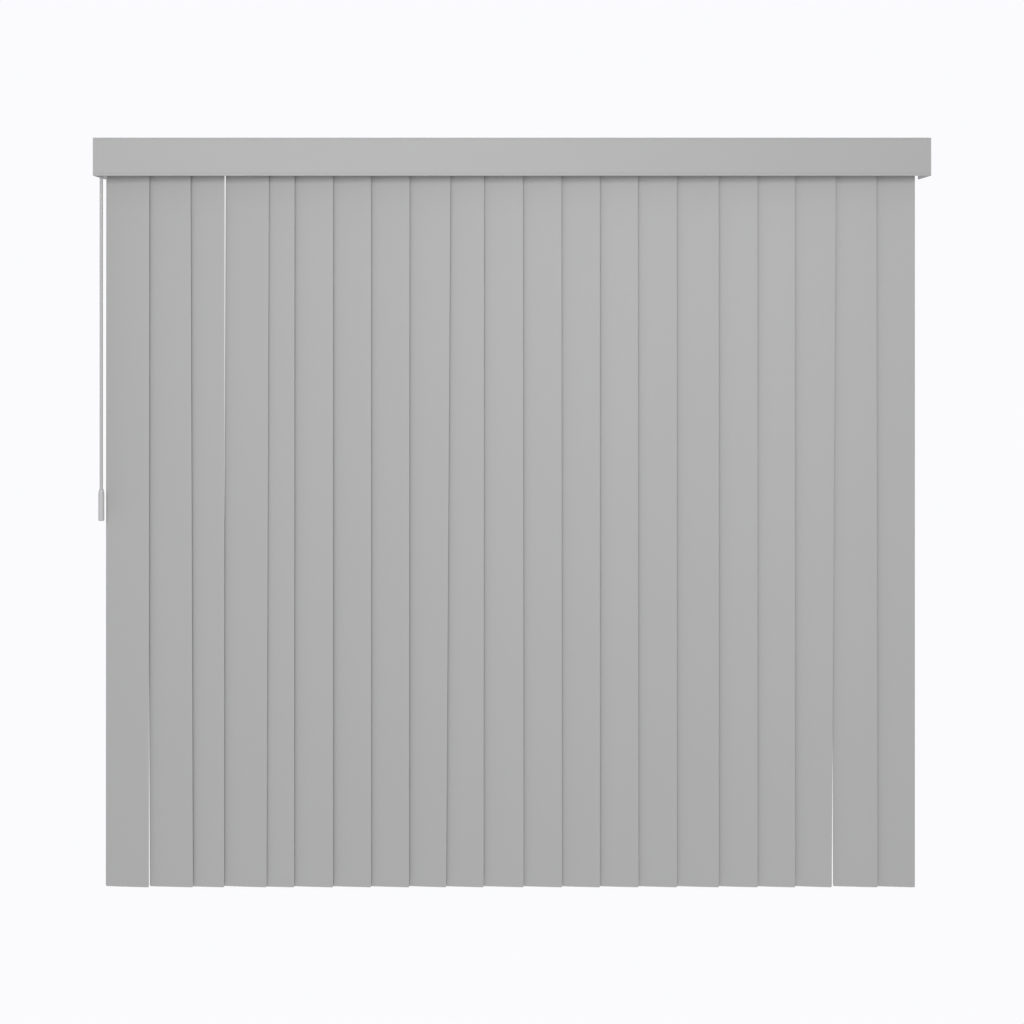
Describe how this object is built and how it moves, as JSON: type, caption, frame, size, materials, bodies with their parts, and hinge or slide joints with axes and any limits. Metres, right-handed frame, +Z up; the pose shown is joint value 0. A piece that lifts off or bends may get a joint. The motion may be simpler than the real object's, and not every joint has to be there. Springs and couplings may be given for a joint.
{
  "type": "vertical blind",
  "caption": "Wall-mounted vertical blind: overlapping crowned vanes hang from carriers in a headrail behind a valance, turned and drawn with a hanging wand.",
  "frame": {"origin": "on the wall, midway between the middle bracket's two screw holes", "axes": "+X along the headrail to the viewer's right, +Y into the wall, +Z up; the room is on the -Y side"},
  "size_m": [1.677, 0.113, 1.5161],
  "materials": {
    "vane_pvc": "semi-matt calendered PVC",
    "valance_pvc": "semi-matt PVC",
    "carrier_acetal": "moulded acetal",
    "rail_aluminium": "white powder coat",
    "cap_plastic": "moulded",
    "corner_plastic": "moulded",
    "clip_plastic": "moulded",
    "bracket_steel": "white paint",
    "clip_steel": "zinc plated spring steel",
    "bolt_steel": "zinc plated",
    "rod_aluminium": "drawn",
    "gear_acetal": "moulded acetal",
    "hook_steel": "zinc plated wire",
    "wand_plastic": "extruded, satin gloss",
    "grip_plastic": "moulded, satin gloss"
  },
  "bodies": {
    "frame": {"headrail": "rail_aluminium", "end_cap_left": "cap_plastic", "end_cap_right": "cap_plastic", "valance_front": "valance_pvc", "valance_return_left": "valance_pvc", "valance_return_right": "valance_pvc", "valance_corners": "corner_plastic", "valance_clips": "clip_plastic", "mounting_brackets": "bracket_steel", "rail_clips": "clip_steel", "bracket_bolts": "bolt_steel", "carrier_21": "carrier_acetal"},
    "tilt_rod": {"tilt_rod": "rod_aluminium"},
    "lead_carrier": {"lead_carrier": "carrier_acetal"},
    "drive_gear": {"drive_gear": "gear_acetal"},
    "wand_gear": {"wand_gear": "gear_acetal"},
    "wand_hook": {"wand_hook": "hook_steel"},
    "wand": {"wand_cap": "wand_plastic", "wand_rod": "wand_plastic", "wand_grip": "grip_plastic"},
    "carrier_02": {"carrier_02": "carrier_acetal"},
    "carrier_03": {"carrier_03": "carrier_acetal"},
    "carrier_04": {"carrier_04": "carrier_acetal"},
    "carrier_05": {"carrier_05": "carrier_acetal"},
    "carrier_06": {"carrier_06": "carrier_acetal"},
    "carrier_07": {"carrier_07": "carrier_acetal"},
    "carrier_08": {"carrier_08": "carrier_acetal"},
    "carrier_09": {"carrier_09": "carrier_acetal"},
    "carrier_10": {"carrier_10": "carrier_acetal"},
    "carrier_11": {"carrier_11": "carrier_acetal"},
    "carrier_12": {"carrier_12": "carrier_acetal"},
    "carrier_13": {"carrier_13": "carrier_acetal"},
    "carrier_14": {"carrier_14": "carrier_acetal"},
    "carrier_15": {"carrier_15": "carrier_acetal"},
    "carrier_16": {"carrier_16": "carrier_acetal"},
    "carrier_17": {"carrier_17": "carrier_acetal"},
    "carrier_18": {"carrier_18": "carrier_acetal"},
    "carrier_19": {"carrier_19": "carrier_acetal"},
    "carrier_20": {"carrier_20": "carrier_acetal"},
    "vane_01": {"vane_01": "vane_pvc"},
    "vane_02": {"vane_02": "vane_pvc"},
    "vane_03": {"vane_03": "vane_pvc"},
    "vane_04": {"vane_04": "vane_pvc"},
    "vane_05": {"vane_05": "vane_pvc"},
    "vane_06": {"vane_06": "vane_pvc"},
    "vane_07": {"vane_07": "vane_pvc"},
    "vane_08": {"vane_08": "vane_pvc"},
    "vane_09": {"vane_09": "vane_pvc"},
    "vane_10": {"vane_10": "vane_pvc"},
    "vane_11": {"vane_11": "vane_pvc"},
    "vane_12": {"vane_12": "vane_pvc"},
    "vane_13": {"vane_13": "vane_pvc"},
    "vane_14": {"vane_14": "vane_pvc"},
    "vane_15": {"vane_15": "vane_pvc"},
    "vane_16": {"vane_16": "vane_pvc"},
    "vane_17": {"vane_17": "vane_pvc"},
    "vane_18": {"vane_18": "vane_pvc"},
    "vane_19": {"vane_19": "vane_pvc"},
    "vane_20": {"vane_20": "vane_pvc"},
    "vane_21": {"vane_21": "vane_pvc"}
  },
  "joints": [
    {"name": "traverse", "type": "slide", "parent": "frame", "child": "lead_carrier", "axis": [1, 0, 0], "range_m": [0, 1.1915]},
    {"name": "traverse_02", "type": "slide", "parent": "frame", "child": "carrier_02", "axis": [1, 0, 0], "range_m": [0, 1.126]},
    {"name": "traverse_03", "type": "slide", "parent": "frame", "child": "carrier_03", "axis": [1, 0, 0], "range_m": [0, 1.075]},
    {"name": "traverse_04", "type": "slide", "parent": "frame", "child": "carrier_04", "axis": [1, 0, 0], "range_m": [0, 1.003]},
    {"name": "traverse_05", "type": "slide", "parent": "frame", "child": "carrier_05", "axis": [1, 0, 0], "range_m": [0, 0.969]},
    {"name": "traverse_06", "type": "slide", "parent": "frame", "child": "carrier_06", "axis": [1, 0, 0], "range_m": [0, 0.909]},
    {"name": "traverse_07", "type": "slide", "parent": "frame", "child": "carrier_07", "axis": [1, 0, 0], "range_m": [0, 0.85]},
    {"name": "traverse_08", "type": "slide", "parent": "frame", "child": "carrier_08", "axis": [1, 0, 0], "range_m": [0, 0.79]},
    {"name": "traverse_09", "type": "slide", "parent": "frame", "child": "carrier_09", "axis": [1, 0, 0], "range_m": [0, 0.725]},
    {"name": "traverse_10", "type": "slide", "parent": "frame", "child": "carrier_10", "axis": [1, 0, 0], "range_m": [0, 0.675]},
    {"name": "traverse_11", "type": "slide", "parent": "frame", "child": "carrier_11", "axis": [1, 0, 0], "range_m": [0, 0.614]},
    {"name": "traverse_12", "type": "slide", "parent": "frame", "child": "carrier_12", "axis": [1, 0, 0], "range_m": [0, 0.554]},
    {"name": "traverse_13", "type": "slide", "parent": "frame", "child": "carrier_13", "axis": [1, 0, 0], "range_m": [0, 0.494]},
    {"name": "traverse_14", "type": "slide", "parent": "frame", "child": "carrier_14", "axis": [1, 0, 0], "range_m": [0, 0.435]},
    {"name": "traverse_15", "type": "slide", "parent": "frame", "child": "carrier_15", "axis": [1, 0, 0], "range_m": [0, 0.374]},
    {"name": "traverse_16", "type": "slide", "parent": "frame", "child": "carrier_16", "axis": [1, 0, 0], "range_m": [0, 0.307]},
    {"name": "traverse_17", "type": "slide", "parent": "frame", "child": "carrier_17", "axis": [1, 0, 0], "range_m": [0, 0.2465]},
    {"name": "traverse_18", "type": "slide", "parent": "frame", "child": "carrier_18", "axis": [1, 0, 0], "range_m": [0, 0.1885]},
    {"name": "traverse_19", "type": "slide", "parent": "frame", "child": "carrier_19", "axis": [1, 0, 0], "range_m": [0, 0.1235]},
    {"name": "traverse_20", "type": "slide", "parent": "frame", "child": "carrier_20", "axis": [1, 0, 0], "range_m": [0, 0.0595]},
    {"name": "tilt", "type": "hinge", "parent": "lead_carrier", "child": "vane_01", "pos_m": [-0.7795, -0.06, 0.002], "axis": [0, 0, 1], "range_deg": [-169.41, 0]},
    {"name": "tilt_02", "type": "hinge", "parent": "carrier_02", "child": "vane_02", "pos_m": [-0.696, -0.06, 0.002], "axis": [0, 0, 1], "range_deg": [-169.41, 0]},
    {"name": "tilt_03", "type": "hinge", "parent": "carrier_03", "child": "vane_03", "pos_m": [-0.627, -0.06, 0.002], "axis": [0, 0, 1], "range_deg": [-169.41, 0]},
    {"name": "tilt_04", "type": "hinge", "parent": "carrier_04", "child": "vane_04", "pos_m": [-0.537, -0.06, 0.002], "axis": [0, 0, 1], "range_deg": [-169.41, 0]},
    {"name": "tilt_05", "type": "hinge", "parent": "carrier_05", "child": "vane_05", "pos_m": [-0.485, -0.06, 0.002], "axis": [0, 0, 1], "range_deg": [-169.41, 0]},
    {"name": "tilt_06", "type": "hinge", "parent": "carrier_06", "child": "vane_06", "pos_m": [-0.407, -0.06, 0.002], "axis": [0, 0, 1], "range_deg": [-169.41, 0]},
    {"name": "tilt_07", "type": "hinge", "parent": "carrier_07", "child": "vane_07", "pos_m": [-0.33, -0.06, 0.002], "axis": [0, 0, 1], "range_deg": [-169.41, 0]},
    {"name": "tilt_08", "type": "hinge", "parent": "carrier_08", "child": "vane_08", "pos_m": [-0.252, -0.06, 0.002], "axis": [0, 0, 1], "range_deg": [-169.41, 0]},
    {"name": "tilt_09", "type": "hinge", "parent": "carrier_09", "child": "vane_09", "pos_m": [-0.169, -0.06, 0.002], "axis": [0, 0, 1], "range_deg": [-169.41, 0]},
    {"name": "tilt_10", "type": "hinge", "parent": "carrier_10", "child": "vane_10", "pos_m": [-0.101, -0.06, 0.002], "axis": [0, 0, 1], "range_deg": [-169.41, 0]},
    {"name": "tilt_11", "type": "hinge", "parent": "carrier_11", "child": "vane_11", "pos_m": [-0.022, -0.06, 0.002], "axis": [0, 0, 1], "range_deg": [-169.41, 0]},
    {"name": "tilt_12", "type": "hinge", "parent": "carrier_12", "child": "vane_12", "pos_m": [0.056, -0.06, 0.002], "axis": [0, 0, 1], "range_deg": [-169.41, 0]},
    {"name": "tilt_13", "type": "hinge", "parent": "carrier_13", "child": "vane_13", "pos_m": [0.134, -0.06, 0.002], "axis": [0, 0, 1], "range_deg": [-169.41, 0]},
    {"name": "tilt_14", "type": "hinge", "parent": "carrier_14", "child": "vane_14", "pos_m": [0.211, -0.06, 0.002], "axis": [0, 0, 1], "range_deg": [-169.41, 0]},
    {"name": "tilt_15", "type": "hinge", "parent": "carrier_15", "child": "vane_15", "pos_m": [0.29, -0.06, 0.002], "axis": [0, 0, 1], "range_deg": [-169.41, 0]},
    {"name": "tilt_16", "type": "hinge", "parent": "carrier_16", "child": "vane_16", "pos_m": [0.375, -0.06, 0.002], "axis": [0, 0, 1], "range_deg": [-169.41, 0]},
    {"name": "tilt_17", "type": "hinge", "parent": "carrier_17", "child": "vane_17", "pos_m": [0.4535, -0.06, 0.002], "axis": [0, 0, 1], "range_deg": [-169.41, 0]},
    {"name": "tilt_18", "type": "hinge", "parent": "carrier_18", "child": "vane_18", "pos_m": [0.5295, -0.06, 0.002], "axis": [0, 0, 1], "range_deg": [-169.41, 0]},
    {"name": "tilt_19", "type": "hinge", "parent": "carrier_19", "child": "vane_19", "pos_m": [0.6125, -0.06, 0.002], "axis": [0, 0, 1], "range_deg": [-169.41, 0]},
    {"name": "tilt_20", "type": "hinge", "parent": "carrier_20", "child": "vane_20", "pos_m": [0.6945, -0.06, 0.002], "axis": [0, 0, 1], "range_deg": [-169.41, 0]},
    {"name": "tilt_21", "type": "hinge", "parent": "frame", "child": "vane_21", "pos_m": [0.772, -0.06, 0.002], "axis": [0, 0, 1], "range_deg": [-169.41, 0]},
    {"name": "rod_turn", "type": "hinge", "parent": "frame", "child": "tilt_rod", "pos_m": [-0.8275, -0.051, 0.002], "axis": [1, 0, 0], "range_deg": [-1440, 0]},
    {"name": "drive_gear_turn", "type": "hinge", "parent": "lead_carrier", "child": "drive_gear", "pos_m": [-0.8275, -0.051, 0.002], "axis": [1, 0, 0], "range_deg": [-1440, 0]},
    {"name": "wand_gear_turn", "type": "hinge", "parent": "lead_carrier", "child": "wand_gear", "pos_m": [-0.8275, -0.086, -0.03252], "axis": [0, -0.8192, -0.5736], "range_deg": [-1440, 0]},
    {"name": "wand_twist", "type": "hinge", "parent": "lead_carrier", "child": "wand_hook", "pos_m": [-0.8275, -0.086, -0.03252], "axis": [0, 0, -1], "range_deg": [-1440, 0]},
    {"name": "wand_swing", "type": "hinge", "parent": "wand_hook", "child": "wand", "pos_m": [-0.8275, -0.086, -0.04252], "axis": [-1, 0, 0], "range_deg": [0, 28]}
  ],
  "couplings": [
    {"joint": "traverse_02", "follows": "traverse", "ratio": 0.94503},
    {"joint": "traverse_03", "follows": "traverse", "ratio": 0.90222},
    {"joint": "traverse_04", "follows": "traverse", "ratio": 0.8418},
    {"joint": "traverse_05", "follows": "traverse", "ratio": 0.81326},
    {"joint": "traverse_06", "follows": "traverse", "ratio": 0.7629},
    {"joint": "traverse_07", "follows": "traverse", "ratio": 0.71339},
    {"joint": "traverse_08", "follows": "traverse", "ratio": 0.66303},
    {"joint": "traverse_09", "follows": "traverse", "ratio": 0.60848},
    {"joint": "traverse_10", "follows": "traverse", "ratio": 0.56651},
    {"joint": "traverse_11", "follows": "traverse", "ratio": 0.51532},
    {"joint": "traverse_12", "follows": "traverse", "ratio": 0.46496},
    {"joint": "traverse_13", "follows": "traverse", "ratio": 0.4146},
    {"joint": "traverse_14", "follows": "traverse", "ratio": 0.36509},
    {"joint": "traverse_15", "follows": "traverse", "ratio": 0.31389},
    {"joint": "traverse_16", "follows": "traverse", "ratio": 0.25766},
    {"joint": "traverse_17", "follows": "traverse", "ratio": 0.20688},
    {"joint": "traverse_18", "follows": "traverse", "ratio": 0.1582},
    {"joint": "traverse_19", "follows": "traverse", "ratio": 0.10365},
    {"joint": "traverse_20", "follows": "traverse", "ratio": 0.049937},
    {"joint": "tilt_02", "follows": "tilt", "ratio": 1},
    {"joint": "tilt_03", "follows": "tilt", "ratio": 1},
    {"joint": "tilt_04", "follows": "tilt", "ratio": 1},
    {"joint": "tilt_05", "follows": "tilt", "ratio": 1},
    {"joint": "tilt_06", "follows": "tilt", "ratio": 1},
    {"joint": "tilt_07", "follows": "tilt", "ratio": 1},
    {"joint": "tilt_08", "follows": "tilt", "ratio": 1},
    {"joint": "tilt_09", "follows": "tilt", "ratio": 1},
    {"joint": "tilt_10", "follows": "tilt", "ratio": 1},
    {"joint": "tilt_11", "follows": "tilt", "ratio": 1},
    {"joint": "tilt_12", "follows": "tilt", "ratio": 1},
    {"joint": "tilt_13", "follows": "tilt", "ratio": 1},
    {"joint": "tilt_14", "follows": "tilt", "ratio": 1},
    {"joint": "tilt_15", "follows": "tilt", "ratio": 1},
    {"joint": "tilt_16", "follows": "tilt", "ratio": 1},
    {"joint": "tilt_17", "follows": "tilt", "ratio": 1},
    {"joint": "tilt_18", "follows": "tilt", "ratio": 1},
    {"joint": "tilt_19", "follows": "tilt", "ratio": 1},
    {"joint": "tilt_20", "follows": "tilt", "ratio": 1},
    {"joint": "tilt_21", "follows": "tilt", "ratio": 1},
    {"joint": "rod_turn", "follows": "tilt", "ratio": 8.5},
    {"joint": "drive_gear_turn", "follows": "tilt", "ratio": 8.5},
    {"joint": "wand_gear_turn", "follows": "tilt", "ratio": 8.5},
    {"joint": "wand_twist", "follows": "tilt", "ratio": 8.5}
  ]
}
